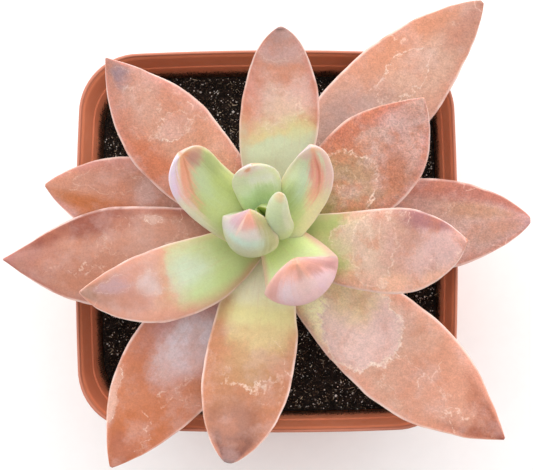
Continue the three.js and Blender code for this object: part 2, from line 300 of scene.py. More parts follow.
def drain_cutters():
    """Four drain holes, and four grooves that lead to them from the edge."""
    cutters = []
    length = BASE_HALF + GROOVE_OVERRUN - CENTRE_PAD
    middle = (CENTRE_PAD + length / 2) * MM
    for k in range(DRAIN_COUNT):
        a = 2 * math.pi * k / DRAIN_COUNT
        bpy.ops.mesh.primitive_cylinder_add(
            vertices=40,
            radius=DRAIN_RADIUS * MM,
            depth=3 * FLOOR * MM,
            location=(DRAIN_REACH * math.cos(a) * MM, DRAIN_REACH * math.sin(a) * MM, FLOOR * MM),
        )
        cutters.append(bpy.context.object)
        bpy.ops.mesh.primitive_cube_add(
            size=1,
            location=(middle * math.cos(a), middle * math.sin(a), 0),
            rotation=(0, 0, a),
            scale=(length * MM, GROOVE_WIDTH * MM, 2 * GROOVE_DEPTH * MM),
        )
        cutters.append(bpy.context.object)
    return cutters


points, faces = loft([pot_level(half, z) for half, z in pot_profile()])
pot = make_piece("pot_moulded", points, faces, pot_plastic())
cut_away(pot, drain_cutters())
pot.data.set_sharp_from_angle(angle=math.radians(CREASE_ANGLE))
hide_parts("pot")


# The soil. Moist dark peat that fills the pot to a little below its collar: crumbs of two
# sizes, with short fibres and white and tan grains lying on top, and crumbs on the pot's wall.
SOIL_LEVEL = 50.4
SOIL_GAP = 0.3
SOIL_RINGS = 110
SOIL_STEPS = (84, 56)
HOLE_RADIUS = 4.65
ROOT_HOLE = (2.05, 24.3)
CRUMB = 1.0
CRUMB_RISE = 0.6
FINE_CRUMB = 0.45
FINE_CRUMB_RISE = 0.32
CRUMB_EDGE = 0.8
CRUMBS_SUNK = 0.7
SOIL_WAVE = 9
SOIL_WAVE_RISE = 0.5
CLEAR_OF_WALL = 0.7
CLEAR_OF_STEM = 0.8
CORNER_REACH = 1.62
FIBRES = 5200
FIBRE_RADIUS = (0.045, 0.105)
FIBRE_CURL = 0.35
FIBRE_LIFT = (0.02, 0.3)
GRAINS = 8000
WALL_CRUMBS = 3600
WALL_CRUMB_SIZE = (0.05, 0.13)
WALL_CRUMB_REACH = 2.8
LUMP_SIDES = 5


def soil_height(x, y):
    """The soil's surface at a point, in millimetres."""
    swell = noise.noise(Vector((x / SOIL_WAVE, y / SOIL_WAVE, 3.1)))
    big = noise.voronoi(Vector((x / CRUMB, y / CRUMB, 0.4)))[0][0]
    small = noise.voronoi(Vector((x / FINE_CRUMB, y / FINE_CRUMB, 7.7)))[0][0]
    lump = CRUMB_RISE * math.sqrt(max(0.0, 1 - (big / CRUMB_EDGE) ** 2))
    lump += FINE_CRUMB_RISE * math.sqrt(max(0.0, 1 - (small / CRUMB_EDGE) ** 2))
    return SOIL_LEVEL - CRUMBS_SUNK + SOIL_WAVE_RISE * swell + lump


def soil_stuff():
    """Dark peat, nearly black in its gaps and dark brown on its crumbs."""
    material, tree, shader, where = new_material("moist peat", Specular_IOR_Level=0.25)
    cloud = mottle(tree, where, 900, 5)
    colour = mix(tree, between(tree, cloud, 0.38, 0.68), paint("050201"), paint("1a0e09"))
    fleck = between(tree, mottle(tree, where, 3400, 3, 0.8), 0.57, 0.63)
    colour = mix(tree, times(tree, fleck, 0.45), colour, paint("8a6e50"))
    rough = between(tree, cloud, 0.3, 0.7, 0.95, 0.7)
    finish_with(tree, shader, colour, rough, mottle(tree, where, 2200, 4), 0.8, 0.4 * MM)
    return material


def litter_stuff(name, dark, pale, rough):
    """What lies on the soil, each bit in its own tone from dark to pale."""
    material, tree, shader, where = new_material(name, Specular_IOR_Level=0.3)
    tone = put(tree, "ShaderNodeAttribute", attribute_name="tone").outputs["Fac"]
    colour = mix(tree, tone, paint(dark), paint(pale))
    cloud = mottle(tree, where, 4000, 2)
    colour = mix(tree, between(tree, cloud, 0.4, 0.7, 0, 0.35), colour, paint(dark))
    roughness = between(tree, cloud, 0.3, 0.7, rough, rough + 0.15)
    finish_with(tree, shader, colour, roughness, cloud, 0.4, 0.1 * MM)
    return material


def soil_bed():
    """The bed: down its sides, across its underside, and a lumpy top round the stem's hole."""

    def side(z):
        return pot_level(body_half(z) - WALL - SOIL_GAP, z, *SOIL_STEPS)

    levels = [side(z) for z in (FLOOR + SOIL_GAP, 20, 40, SOIL_LEVEL - 1.4)]
    outer = side(SOIL_LEVEL)
    flat = outer[:, :2]
    hole = flat / np.linalg.norm(flat, axis=1)[:, None]
    for inward in np.linspace(0, 1, SOIL_RINGS):
        level = np.empty_like(outer)
        level[:, :2] = flat + inward * (hole * HOLE_RADIUS - flat)
        level[:, 2] = [soil_height(x, y) for x, y in level[:, :2]]
        levels.append(level)
    radius, depth = ROOT_HOLE
    levels.append(np.column_stack([hole * radius, np.full(len(hole), SOIL_LEVEL - depth)]))
    return loft(levels)


def spot_on_soil(draw):
    """A random place on the soil, clear of the stem and of the pot's wall and corners."""
    reach = body_half(SOIL_LEVEL) - WALL - CLEAR_OF_WALL
    while True:
        x, y = draw.uniform(-reach, reach), draw.uniform(-reach, reach)
        off_corner = abs(x) + abs(y) < CORNER_REACH * reach
        off_stem = math.hypot(x, y) > HOLE_RADIUS + CLEAR_OF_STEM
        if max(abs(x), abs(y)) < reach and off_corner and off_stem:
            return x, y


def soil_fibres():
    """Thin three-sided strands, each following the lumps that it lies on."""
    draw = random.Random(11)
    points, faces, tones = [], [], []
    for _ in range(FIBRES):
        x, y = spot_on_soil(draw)
        length = 0.22 + 0.9 * draw.random() ** 4
        radius = draw.uniform(*FIBRE_RADIUS)
        heading = draw.uniform(0, 2 * math.pi)
        curl = draw.uniform(-FIBRE_CURL, FIBRE_CURL)
        tone = draw.random() ** 2
        start = len(points)
        lift = draw.uniform(*FIBRE_LIFT)
        for step in range(4):
            wide = radius * (0.5 if step in (0, 3) else 1)
            side = Vector((-math.sin(heading), math.cos(heading), 0))
            middle = Vector((x, y, soil_height(x, y) + lift))
            points += [middle + side * wide, middle - side * wide, middle + Vector((0, 0, 1.6 * wide))]
            x += math.cos(heading) * length / 3
            y += math.sin(heading) * length / 3
            heading += curl
        for step in range(3):
            a = start + 3 * step
            for i in range(3):
                j = (i + 1) % 3
                faces.append([a + i, a + 3 + i, a + 3 + j, a + j])
        faces += [[start, start + 1, start + 2], [start + 11, start + 10, start + 9]]
        tones += [tone] * 12
    return points, faces, tones


def soil_lumps(draw, spots):
    """Little uneven lumps, one for each (middle, size, tone)."""
    points, faces, tones = [], [], []
    n = LUMP_SIDES
    turn = [2 * math.pi * i / n for i in range(n)]
    for middle, size, tone in spots:
        start = len(points)
        points.append(middle - Vector((0, 0, size)))
        for level, wide in ((-0.4, 0.95), (0.45, 0.9)):
            for a in turn:
                r = size * wide * draw.uniform(0.7, 1.15)
                points.append(middle + Vector((r * math.cos(a), r * math.sin(a), level * size)))
        points.append(middle + Vector((0, 0, size)))
        lower, upper, top = start + 1, start + 1 + n, start + 1 + 2 * n
        for i in range(n):
            j = (i + 1) % n
            faces.append([start, lower + j, lower + i])
            faces.append([lower + i, lower + j, upper + j, upper + i])
            faces.append([top, upper + i, upper + j])
        tones += [tone] * (2 + 2 * n)
    return points, faces, tones


def grains_on_top(draw):
    """Perlite, sand and bark, half sunk in the crumbs, paler in some patches than in others."""
    for _ in range(GRAINS):
        x, y = spot_on_soil(draw)
        drift = noise.noise(Vector((x / 2.5, y / 2.5, 5.2)))
        tone = draw.random() ** (2.4 - 2 * drift)
        size = 0.065 + 0.09 * tone + 0.2 * draw.random() ** 12
        yield Vector((x, y, soil_height(x, y) + 0.5 * size)), size, tone


def crumbs_on_wall(draw):
    """Dust and crumbs of peat that cling to the pot's wall just above the soil."""
    for _ in range(WALL_CRUMBS):
        z = SOIL_LEVEL - 0.2 + WALL_CRUMB_REACH * draw.random() ** 2.2
        size = draw.uniform(*WALL_CRUMB_SIZE)
        ring = pot_level(body_half(z) - WALL - 0.4 * size, z, 60, 40)
        yield Vector(ring[draw.randrange(len(ring))]), size, draw.random() ** 2


points, faces = soil_bed()
bed = make_piece("soil_bed", points, faces, soil_stuff())
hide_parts("soil")
points, faces, tones = soil_fibres()
fibres = litter_stuff("peat fibre", "130905", "f0dfc0", 0.7)
make_piece("soil_fibres", points, faces, fibres, {"tone": tones})
draw = random.Random(5)
points, faces, tones = soil_lumps(draw, grains_on_top(draw))
grains = litter_stuff("perlite and bark", "382a1c", "fffcf6", 0.6)
make_piece("soil_grains", points, faces, grains, {"tone": tones})
points, faces, tones = soil_lumps(draw, crumbs_on_wall(draw))
crumbs = litter_stuff("peat crumbs", "140d09", "8a6a4c", 0.85)
make_piece("soil_crumbs", points, faces, crumbs, {"tone": tones})


# The stem. A short fleshy stem, ringed with the pale scars of leaves that have dropped. It
# leans a little as it climbs out of its hole in the soil.
STEM_TOP = 84.6
STEM_LEAN = (0.8, 3.2)
STEM_RADIUS = 4.2
STEM_TOP_RADIUS = 1.7
STEM_TAPER = 2.2
STEM_SIDES = 56
STEM_ROWS = 130
NECK_SHARE = 0.95
SCAR_COUNT = 7
SCAR_RIDGE = 0.035
STEM_GRAIN = 0.07
STEM_INSET = 0.05
ROOT_DEPTH = 24
ROOT_RADIUS = 1.6
SOIL_CREST = 0.8
SOIL_TOP = SOIL_LEVEL + SOIL_CREST
# Heights on the stem between which it turns from cork to olive green, and from there to fresh green.
OLIVE = (56, 66)
FRESH = (68, 82)


def axis_at(z):
    """A point on the stem's axis, which leans more and more above the soil."""
    up = max(0.0, z - SOIL_LEVEL) / (STEM_TOP - SOIL_LEVEL)
    return np.array([STEM_LEAN[0] * up**2, STEM_LEAN[1] * up**2, z])


def stem_skin():
    """Rings up the root and the stem, with a low ridge at each scar and a slight grain."""
    turn = np.linspace(0, 2 * np.pi, STEM_SIDES, endpoint=False)
    around = [(3 * math.cos(a), 3 * math.sin(a)) for a in turn]
    heights = [SOIL_LEVEL - ROOT_DEPTH, SOIL_LEVEL - 20, SOIL_LEVEL - 0.4 * ROOT_DEPTH]
    heights += [*np.arange(SOIL_LEVEL - 6, SOIL_TOP, 1.0), *np.linspace(SOIL_TOP, STEM_TOP, STEM_ROWS)]
    neck = NECK_SHARE * STEM_RADIUS
    levels = []
    for z in heights:
        up = (z - SOIL_TOP) / (STEM_TOP - SOIL_TOP)
        if up < 0:
            sunk = (SOIL_TOP - z) / (ROOT_DEPTH + SOIL_CREST)
            radius = neck + sunk * (ROOT_RADIUS - neck)
            ridge = np.zeros(STEM_SIDES)
        else:
            radius = STEM_RADIUS + (STEM_TOP_RADIUS - STEM_RADIUS) * up**STEM_TAPER
            place = up * SCAR_COUNT + 0.18 * np.sin(2 * turn + 5 * up)
            ridge = np.maximum(0, np.sin(2 * np.pi * place)) ** 3
        grain = np.array([noise.noise(Vector((u, v, z / 2))) for u, v in around])
        r = radius * (1 - SCAR_RIDGE + SCAR_RIDGE * ridge) + STEM_GRAIN * grain - STEM_INSET
        x, y, _ = axis_at(z)
        level = [x + r * np.cos(turn), y + r * np.sin(turn), np.full(STEM_SIDES, z)]
        levels.append(np.column_stack(level))
    return loft(levels)


def stem_bark():
    """Olive-green skin turning brown and corky towards the soil, with tan scar rings."""
    material, tree, shader, where = new_material("fleshy stem", Specular_IOR_Level=0.35)
    height = put(tree, "ShaderNodeSeparateXYZ", {0: where}).outputs["Z"]
    cloud = mottle(tree, where, 500, 4)
    wavy = plus(tree, height, times(tree, cloud, 6 * MM))
    olive, fresh = (between(tree, wavy, low * MM, high * MM) for low, high in (OLIVE, FRESH))
    colour = mix(tree, olive, paint("7d6247"), paint("a3a064"))
    colour = mix(tree, fresh, colour, paint("b4c47e"))
    line = put(tree, "ShaderNodeMapping", {"Vector": where, "Scale": (140, 140, 800)})
    cork = between(tree, mottle(tree, line.outputs[0], 1, 4), 0.52, 0.66)
    colour = mix(tree, times(tree, cork, 0.6), colour, paint("b99c78"))
    rough = between(tree, cloud, 0.3, 0.7, 0.5, 0.7)
    finish_with(tree, shader, colour, rough, mottle(tree, where, 1500, 4), 0.3, 0.3 * MM)
    return material


points, faces = stem_skin()
stem = make_piece("stem_skin", points, faces, stem_bark())
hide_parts("stem")


# The leaves. Thick, fleshy blades with a waxy skin, each grown from the stem: nearly flat above,
# keeled below, widest past the middle. Each has its own flush of colour, from green at the
# heart through yellow and peach to orange, with lilac bloom and pale water marks. Some also
# carry painted shade, and painted light where a leaf above shades them, and each has a pale
# margin that is partly painted highlight.
LEAF_COLUMNS = (
    "bearing height length width thick rise_base rise_tip late bend roll neck point widest thickest"
).split()
LEAF_SIZES = {
    "leaf_01_left_back": (163, 13, 41.3, 17.1, 5.2, 8, 16, 2, 8, 0, 0.3, 0.92, 0.55, 0.35),
    "leaf_02_right": (5.4, 12.5, 48, 17, 5.4, 6, 10, 2, -4, 0, 0.3, 0.76, 0.56, 0.35),
    "leaf_03_front_left": (231.8, 13.5, 50.2, 18.3, 5.6, 4, 8, 2, 9, 0, 0.27, 0.95, 0.56, 0.35),
    "leaf_04_right_back": (51.5, 15.5, 57.2, 18, 5.8, 6, 8, 2, -9.5, 0, 0.3, 0.82, 0.5, 0.35),
    "leaf_05_left": (193.5, 17.5, 47.4, 18, 5.6, 8, 6, 2, -16, 0, 0.3, 1.15, 0.55, 0.35),
    "leaf_06_front_right": (-44, 16, 56, 18.3, 5.8, 8, 5, 2, 7, 0, 0.25, 1, 0.58, 0.35),
    "leaf_07_left_back_top": (138.5, 21, 42, 15.8, 5.6, 14, 20, 2, -12, 0, 0.35, 1.05, 0.55, 0.35),
    "leaf_08_front": (266.3, 20, 42.5, 15.8, 5.6, 16, 22, 2, -10, 0, 0.35, 0.65, 0.57, 0.35),
    "leaf_09_right_back_top": (21.5, 20.5, 39.5, 16.9, 5.8, 20, 36, 2, 36, 0, 0.35, 1, 0.6, 0.35),
    "leaf_10_back": (78.3, 24.5, 37.2, 13.6, 5.6, 22, 36, 2, 13, 0, 0.4, 0.65, 0.55, 0.35),
    "leaf_11_left_front": (223, 23.5, 38.8, 13, 5.8, 22, 48, 2, -48, 0, 0.35, 0.85, 0.5, 0.35),
    "leaf_12_right_top": (-22, 24.5, 41, 14.5, 5.8, 24, 50, 2, 36, 0, 0.3, 0.8, 0.62, 0.35),
    "leaf_13_upright_left": (164.5, 28.5, 28.8, 10.4, 6.4, 33, 82, 1.5, -57, 28, 1.1, 0.57, 0.55, 0.45),
    "leaf_14_upright_front": (311, 28, 26.4, 13.7, 8.8, 18, 132, 1.25, -25, 5, 0.36, 0.6, 0.67, 0.6),
    "leaf_15_upright_back": (102, 31.5, 19, 8.2, 4.4, 42, 86, 1, 0, 0, 0.6, 0.75, 0.55, 0.35),
    "leaf_16_upright_right": (18, 29, 28, 8.6, 5.6, 40, 82, 1.5, 92, 0, 1.5, 0.78, 0.4, 0.35),
    "leaf_17_heart_front": (214, 31, 16.5, 10.4, 7, 40, 138, 0.9, 66, -18, 0.5, 0.8, 0.6, 0.6),
    "leaf_18_heart_right": (338, 32, 20.8, 4.4, 2.9, 9, 140, 0.5, -92, -6, 0.7, 0.42, 0.6, 0.6),
}
OUTER_LEAVES = 7
MIDDLE_LEAVES = 5
THICK_AT_STEM = 0.62
TIP_THINNING = 0.82
BELOW_SHARE = 0.7
EDGE_SHARPNESS = 1.3
TROUGH_DEPTH = 0.3
TROUGH_END = 0.8
KEEL = 0.06
TIP_AT = 0.995
SPINE_STEPS = 60
LEAF_ROWS = 110
LEAF_SIDES = 72
ROWS_TO_TIP = 1.4
SWELL_SIZE = 7
SWELL = 0.22
YOUNG_SWELL = 0.1
YOUNG_GRAIN = 0.45


def leaf_spine(leaf, base, steps=SPINE_STEPS):
    """The leaf's middle line, with its directions along, across and out of the upper face."""
    t = np.linspace(0, 1, steps + 1)
    climb = (leaf["rise_tip"] - leaf["rise_base"]) * t ** leaf["late"]
    rise = np.radians(leaf["rise_base"] + climb)
    bearing = np.radians(leaf["bearing"] + leaf["bend"] * t)
    roll = np.radians(leaf["roll"] * t)[:, None]
    along = np.column_stack(
        [np.cos(rise) * np.cos(bearing), np.cos(rise) * np.sin(bearing), np.sin(rise)]
    )
    level = np.column_stack([-np.sin(bearing), np.cos(bearing), 0 * bearing])
    across = level * np.cos(roll) + np.cross(along, level) * np.sin(roll)
    at = base + np.vstack([np.zeros(3), np.cumsum(along[:-1], 0)]) * leaf["length"] / steps
    return t, at, along, across, np.cross(along, across)


def half_width(leaf, t):
    """Half a leaf's width: a neck at the stem, its widest past the middle, closed at the tip."""
    swell = np.sin(np.pi / 2 * np.minimum(1, t / leaf["widest"]))
    beyond = np.maximum(0, (t - leaf["widest"]) / (1 - leaf["widest"]))
    closing = np.maximum(0, 1 - beyond**2) ** leaf["point"]
    return leaf["width"] / 2 * (leaf["neck"] + (1 - leaf["neck"]) * swell) * closing


def leaf_thickness(leaf, t):
    """A leaf's thickness: most near its thickest place, and thin at the tip."""
    swell = np.sin(np.pi / 2 * np.minimum(2, t / leaf["thickest"]))
    belly = THICK_AT_STEM + (1 - THICK_AT_STEM) * swell
    return leaf["thick"] * belly * (1 - TIP_THINNING * t**3)


def leaf_blade(leaf, base, rows=LEAF_ROWS, sides=LEAF_SIDES):
    """Rings of a leaf, and where each point lies: along it, across it, and on which face."""
    path_t, *path = leaf_spine(leaf, base)
    turn = np.linspace(0, 2 * np.pi, sides, endpoint=False)
    lift = np.sin(turn)
    x_share = np.cos(turn)
    arch = np.abs(lift) ** EDGE_SHARPNESS
    levels, marks = [], []
    for r in range(rows + 1):
        t = (1 - (1 - r / rows) ** ROWS_TO_TIP) * TIP_AT
        at, along, across, up = (
            np.array([np.interp(t, path_t, line[:, k]) for k in range(3)]) for line in path
        )
        half = half_width(leaf, t)
        thick = min(leaf_thickness(leaf, t), 2 * half)
        sunk = math.sin(math.pi * min(1, t / TROUGH_END)) ** 2
        trough = TROUGH_DEPTH * (1 - x_share**2) ** 2 * sunk
        above = (1 - BELOW_SHARE) * (1 - trough) * thick * arch
        keel = KEEL * t**2
        below = BELOW_SHARE * thick * ((1 - keel) * arch + keel * (1 - np.abs(x_share)))
        z = np.where(lift > 0, above, -below)
        levels.append(at + np.outer(half * x_share, across) + np.outer(z, up))
        marks.append(np.column_stack([np.full(sides, t), x_share, lift]))
    marks.append(np.array([[0, 0, 0], [TIP_AT, 0, 0]]))
    return levels, np.vstack(marks)


def skin_values(marks):
    """Where each point lies on its leaf, as the values that the skin's colours read."""
    return {key: marks[:, column] for column, key in enumerate(("along", "across", "face"))}


def soften(levels, amount, size):
    """Lets a leaf's skin swell and dip a little, as a living leaf's does."""
    for row, level in enumerate(levels):
        middle = level.mean(0)
        share = min(1.0, 6 * (1 - row / len(levels)))
        for point in level:
            away = point - middle
            reach = float(np.linalg.norm(away)) + 1e-6
            swell = noise.noise(Vector(point / size)) + 0.5 * noise.noise(Vector(point / size * 2.7))
            point += away / reach * amount * share * min(1.0, reach / 2) * swell


def new_group(name, inputs, outputs):
    """An empty shader group, with its sockets, what it is given and its object coordinates."""
    group = bpy.data.node_groups.new(name, "ShaderNodeTree")
    for in_out, sockets in (("INPUT", inputs), ("OUTPUT", outputs)):
        for key, kind in sockets.items():
            group.interface.new_socket(key, in_out=in_out, socket_type="NodeSocket" + kind)
    given = put(group, "NodeGroupInput").outputs
    return group, given, put(group, "ShaderNodeTexCoord").outputs["Object"]


def mark_and_shade_patch_group():
    """A patch of bloom, a dried water mark, or on a few leaves a patch of painted shade: its inside,
    and the crusty line round it.
    """
    places = ("Along", "Across", "Middle along", "Middle across", "Reach along", "Reach across")
    inputs = dict.fromkeys(places + ("Slant", "Softness", "Wander", "Streaks"), "Float")
    group, given, where = new_group("water mark", inputs, {"Inside": "Float", "Line": "Float"})
    off_along = minus(group, given["Along"], given["Middle along"])
    slanted = times(group, off_along, given["Slant"])
    off_across = minus(group, given["Across"], given["Middle across"], slanted)
    a = sums(group, "DIVIDE", off_along, given["Reach along"])
    b = sums(group, "DIVIDE", off_across, given["Reach across"])
    far = sums(group, "SQRT", plus(group, times(group, a, a), times(group, b, b)))

    broad = minus(group, mottle(group, where, 190, 6, 0.6), 0.5)
    scallop = minus(group, mottle(group, where, 620, 4, 0.6), 0.5)
    wander = times(group, plus(group, broad, times(group, scallop, 0.45)), 2.4)
    far = plus(group, far, times(group, wander, given["Wander"]))
    drawn_out = {
        "X": times(group, given["Along"], 3.0),
        "Y": times(group, given["Across"], 13.0),
        "Z": times(group, given["Middle across"], 7.0),
    }
    drawn_out = put(group, "ShaderNodeCombineXYZ", drawn_out).outputs[0]
    fibrous = minus(group, mottle(group, drawn_out, 1.0, 5, 0.6), 0.5)
    far = plus(group, far, times(group, fibrous, given["Streaks"]))

    outer = plus(group, 1.0, given["Softness"])
    inside = between(group, far, outer, minus(group, 1.0, given["Softness"]))
    off_line = sums(group, "ABSOLUTE", minus(group, far, 1.0))
    broken = between(group, mottle(group, where, 1300, 4, 0.75), 0.38, 0.54)
    gone = between(group, mottle(group, where, 150, 2), 0.3, 0.44)
    line = times(group, between(group, off_line, 0.06, 0.015), broken, gone)
    put(group, "NodeGroupOutput", {"Inside": inside, "Line": line})
    return group


def wax_grain_group():
    """The waxy skin's speckle, its soft clouds of two colours and its thin broken creases."""
    inputs = dict.fromkeys(("Colour", "Bloom", "Warm", "Crease colour"), "Color")
    inputs.update(dict.fromkeys(("Clouds", "Creases", "Grain"), "Float"))
    group, given, where = new_group("wax grain", inputs, {"Colour": "Color", "Height": "Float"})
    cloud = between(group, mottle(group, where, 170, 5, 0.62), 0.46, 0.66)
    colour = mix(group, times(group, cloud, given["Clouds"]), given["Colour"], given["Bloom"])
    shifted = put(group, "ShaderNodeMapping", {"Vector": where, "Location": (0.31, 0.17, 0.05)})
    blotch = between(group, mottle(group, shifted.outputs[0], 230, 5, 0.6), 0.48, 0.66)
    colour = mix(group, times(group, blotch, given["Clouds"]), colour, given["Warm"])

    bend = put(group, "ShaderNodeTexNoise", {"Vector": where, "Scale": 210, "Detail": 6})
    push = {0: bend.outputs["Color"], 3: 11 * MM}
    push = put(group, "ShaderNodeVectorMath", push, operation="SCALE").outputs[0]
    bent = put(group, "ShaderNodeVectorMath", {0: where, 1: push}, operation="ADD").outputs[0]
    cells = {"Vector": bent, "Scale": 95}
    cells = put(group, "ShaderNodeTexVoronoi", cells, feature="DISTANCE_TO_EDGE")
    crease = between(group, cells.outputs["Distance"], 0.026, 0.002)
    patchy = between(group, mottle(group, where, 130, 3), 0.52, 0.64)
    broken = between(group, mottle(group, where, 1100, 3, 0.7), 0.42, 0.56)
    crease = times(group, crease, patchy, broken, given["Creases"])
    colour = mix(group, crease, colour, given["Crease colour"])

    fine = times(group, mottle(group, where, 3300, 2, 0.7), 0.6)
    speckle = plus(group, fine, times(group, mottle(group, where, 1100, 3, 0.65), 0.4))
    bright = plus(group, times(group, minus(group, speckle, 0.5), given["Grain"]), 1.0)
    colour = put(group, "ShaderNodeHueSaturation", {"Value": bright, "Color": colour}).outputs[0]
    put(group, "NodeGroupOutput", {"Colour": colour, "Height": speckle})
    return group


MARK_AND_SHADE_PATCH = mark_and_shade_patch_group()
WAX_GRAIN = wax_grain_group()
# How far along a leaf its smooth foot without marks reaches, how far its colours drift, and how
# strong its speckle and its clouds are.
SKINS = {
    "leaf_01_left_back": (-0.2, 0.34, 1.25, 0.8),
    "leaf_02_right": (-0.2, 0.34, 2.0, 0.75),
    "leaf_03_front_left": (-0.2, 0.34, 1.0, 0.7),
    "leaf_04_right_back": (-0.2, 0.34, 1.5, 0.6),
    "leaf_05_left": (-0.2, 0.34, 1.0, 0.55),
    "leaf_06_front_right": (-0.2, 0.34, 1.3, 0.7),
    "leaf_07_left_back_top": (-0.2, 0.34, 1.6, 0.8),
    "leaf_08_front": (0.42, 0.16, 1.0, 0.65),
    "leaf_09_right_back_top": (-0.2, 0.34, 2.3, 1.4),
    "leaf_10_back": (0.5, 0.34, 1.0, 1.0),
    "leaf_11_left_front": (0.48, 0.34, 0.6, 0.8),
    "leaf_12_right_top": (0.32, 0.34, 1.3, 1.1),
}
YOUNG_SKIN = (-0.2, 0.34, 1.0, 1.0)
LOOKS = {}
UNDER_OUTER = ((0, "c3b98c"), (0.35, "d0a890"), (0.8, "d2957c"), (1, "c9826a"))
UNDER_MIDDLE = ((0, "bcc88c"), (0.4, "d2cc9c"), (0.7, "dca78e"), (1, "d8937c"))

# Each look: the colours along the upper and the under face, each at its place from 0 at the stem
# to 1 at the tip; the flush on the margin; and patches as (colour, place along, place across,
# reach along, reach across, strength, softness, wander, line strength), a few with a slant.
LOOKS["leaf_01_left_back"] = dict(
    # The darker brown at the stem end of the upper face is painted shade, the shade under leaf 07.
    upper=((0, "a77760"), (0.45, "b78168"), (0.7, "bf856e"), (0.88, "bf8771"), (1, "b87f66")),
    under=UNDER_OUTER,
    blush="cc9690",
    patches=[
        ("b26532", 0.77, 0.35, 0.17, 0.34, 0.95, 0.6, 0.4, 0),
        ("cdb0aa", 0.56, -0.3, 0.05, 0.3, 0.6, 0.6, 0.6, 0.2),
        ("bc7d5d", 0.55, 0.6, 0.2, 0.4, 0.6, 0.6, 0.5, 0),
        ("b27d69", 0.74, -0.45, 0.14, 0.35, 0.6, 0.6, 0.8, 0.3),
        ("b46e5a", 0.75, -0.9, 0.2, 0.25, 0.5, 0.6, 0.5, 0),
    ],
)
LOOKS["leaf_02_right"] = dict(
    upper=((0, "bc8d7d"), (0.5, "bf8f84"), (0.7, "be9383"), (0.88, "c0988d"), (1, "c09595")),
    under=UNDER_OUTER,
    blush="c18271",
    patches=[
        ("b88462", 0.81, 0.32, 0.1, 0.22, 0.7, 0.6, 0.6, 0.2),
        ("cea3a0", 0.6, -0.5, 0.14, 0.5, 0.6, 0.5, 0.8, 0.3),
        ("b57e63", 0.86, -0.3, 0.1, 0.3, 0.45, 0.6, 0.8, 0),
        ("af6958", 0.75, 0.85, 0.26, 0.28, 0.9, 0.5, 0.5, 0),
    ],
)
LOOKS["leaf_03_front_left"] = dict(
    upper=(
        (0, "c8a4a4"), (0.4, "cc9a98"), (0.6, "be7456"), (0.72, "c27650"), (0.82, "ba6a3e"),
        (0.93, "a75f3e"), (1, "b16b53"),
    ),
    under=UNDER_OUTER,
    blush="c87e5f",
    patches=[
        ("e0d6de", 0.49, 0.1, 0.15, 0.5, 0.85, 0.5, 0.6, 0.1),
        ("c1734d", 0.74, 0.35, 0.2, 0.45, 0.6, 0.6, 0.5, 0),
        ("c0764a", 0.6, 0.65, 0.06, 0.4, 0.4, 0.6, 0.9, 0.3),
        ("e8c7b8", 0.79, -0.9, 0.09, 0.14, 0.55, 0.4, 1.2, 1.0),
        ("ad644d", 0.92, 0.1, 0.05, 0.7, 0.4, 0.6, 0.7, 0),
    ],
)
LOOKS["leaf_04_right_back"] = dict(
    upper=(
        (0, "af8f87"), (0.35, "b59387"), (0.55, "bd9683"), (0.72, "c99e89"), (0.85, "bf8f79"),
        (1, "b3816d"),
    ),
    under=UNDER_OUTER,
    blush="c78f7a",
    patches=[
        ("c98360", 0.72, 0.62, 0.2, 0.42, 0.75, 0.6, 0.4, 0),
        ("caa08b", 0.68, 0.05, 0.11, 0.4, 0.5, 0.4, 0.7, 0.7),
        ("a98d87", 0.46, 0.1, 0.12, 0.6, 0.6, 0.6, 0.7, 0),
        ("b57966", 0.92, -0.3, 0.08, 0.5, 0.5, 0.6, 0.7, 0),
    ],
)
LOOKS["leaf_05_left"] = dict(
    upper=((0, "ba8a78"), (0.45, "b8846e"), (0.7, "b57b63"), (0.9, "b07a6c"), (1, "b27470")),
    under=UNDER_OUTER,
    blush="aa6654",
    patches=[
        ("c39585", 0.45, -0.3, 0.16, 0.5, 0.5, 0.5, 0.8, 0.25),
        ("b5775e", 0.74, 0.3, 0.2, 0.4, 0.5, 0.6, 0.5, 0),
        ("8a4430", 0.7, -0.8, 0.2, 0.3, 0.9, 0.6, 0.6, 0),
        ("cfaea1", 0.42, -0.75, 0.04, 0.12, 0.8, 0.5, 1.2, 0.8),
    ],
)
LOOKS["leaf_06_front_right"] = dict(
    # The stem end is the leaf's own pale yellow-green, painted paler still: painted light that lifts
    # the shadow of leaf 14 above it.
    upper=(
        (0, "faedb8"), (0.27, "fff5ca"), (0.4, "f4d3bd"), (0.5, "deb39e"), (0.58, "cd9f8a"),
        (0.68, "c68c72"), (0.78, "cc927a"), (0.9, "9e583f"), (1, "8c4029"),
    ),
    under=UNDER_OUTER,
    blush="e0a088",
    patches=[
        ("e2c0ba", 0.42, -0.05, 0.14, 0.8, 0.8, 0.08, 0.4, 1.0),
        ("e4cd92", 0.34, 0.3, 0.08, 0.5, 0.7, 0.6, 0.5, 0),
        ("ce8e72", 0.74, 0.3, 0.14, 0.45, 0.5, 0.6, 0.7, 0),
        ("cf9a86", 0.68, -0.35, 0.12, 0.4, 0.4, 0.6, 0.8, 0.3),
    ],
)
LOOKS["leaf_07_left_back_top"] = dict(
    upper=((0, "db9c7f"), (0.35, "cd9176"), (0.6, "c48d76"), (0.85, "c38d7b"), (1, "ab7f76")),
    under=UNDER_OUTER,
    blush="d59182",
    patches=[
        ("c3704c", 0.5, 0.66, 0.26, 0.3, 0.85, 0.6, 0.4, 0),
        ("947d86", 0.9, 0.05, 0.045, 0.5, 0.8, 0.5, 0.8, 0.3),
        ("d1a99f", 0.6, -0.25, 0.06, 0.35, 0.6, 0.3, 0.9, 0.9),
        ("cca08e", 0.74, 0.1, 0.1, 0.5, 0.5, 0.6, 0.8, 0.3),
        ("c07d65", 0.8, 0.6, 0.12, 0.3, 0.5, 0.6, 0.6, 0),
        ("d39d84", 0.42, -0.6, 0.14, 0.4, 0.5, 0.6, 0.7, 0.5),
        ("b8775c", 0.6, -0.62, 0.13, 0.3, 0.4, 0.6, 0.6, 0),
    ],
)
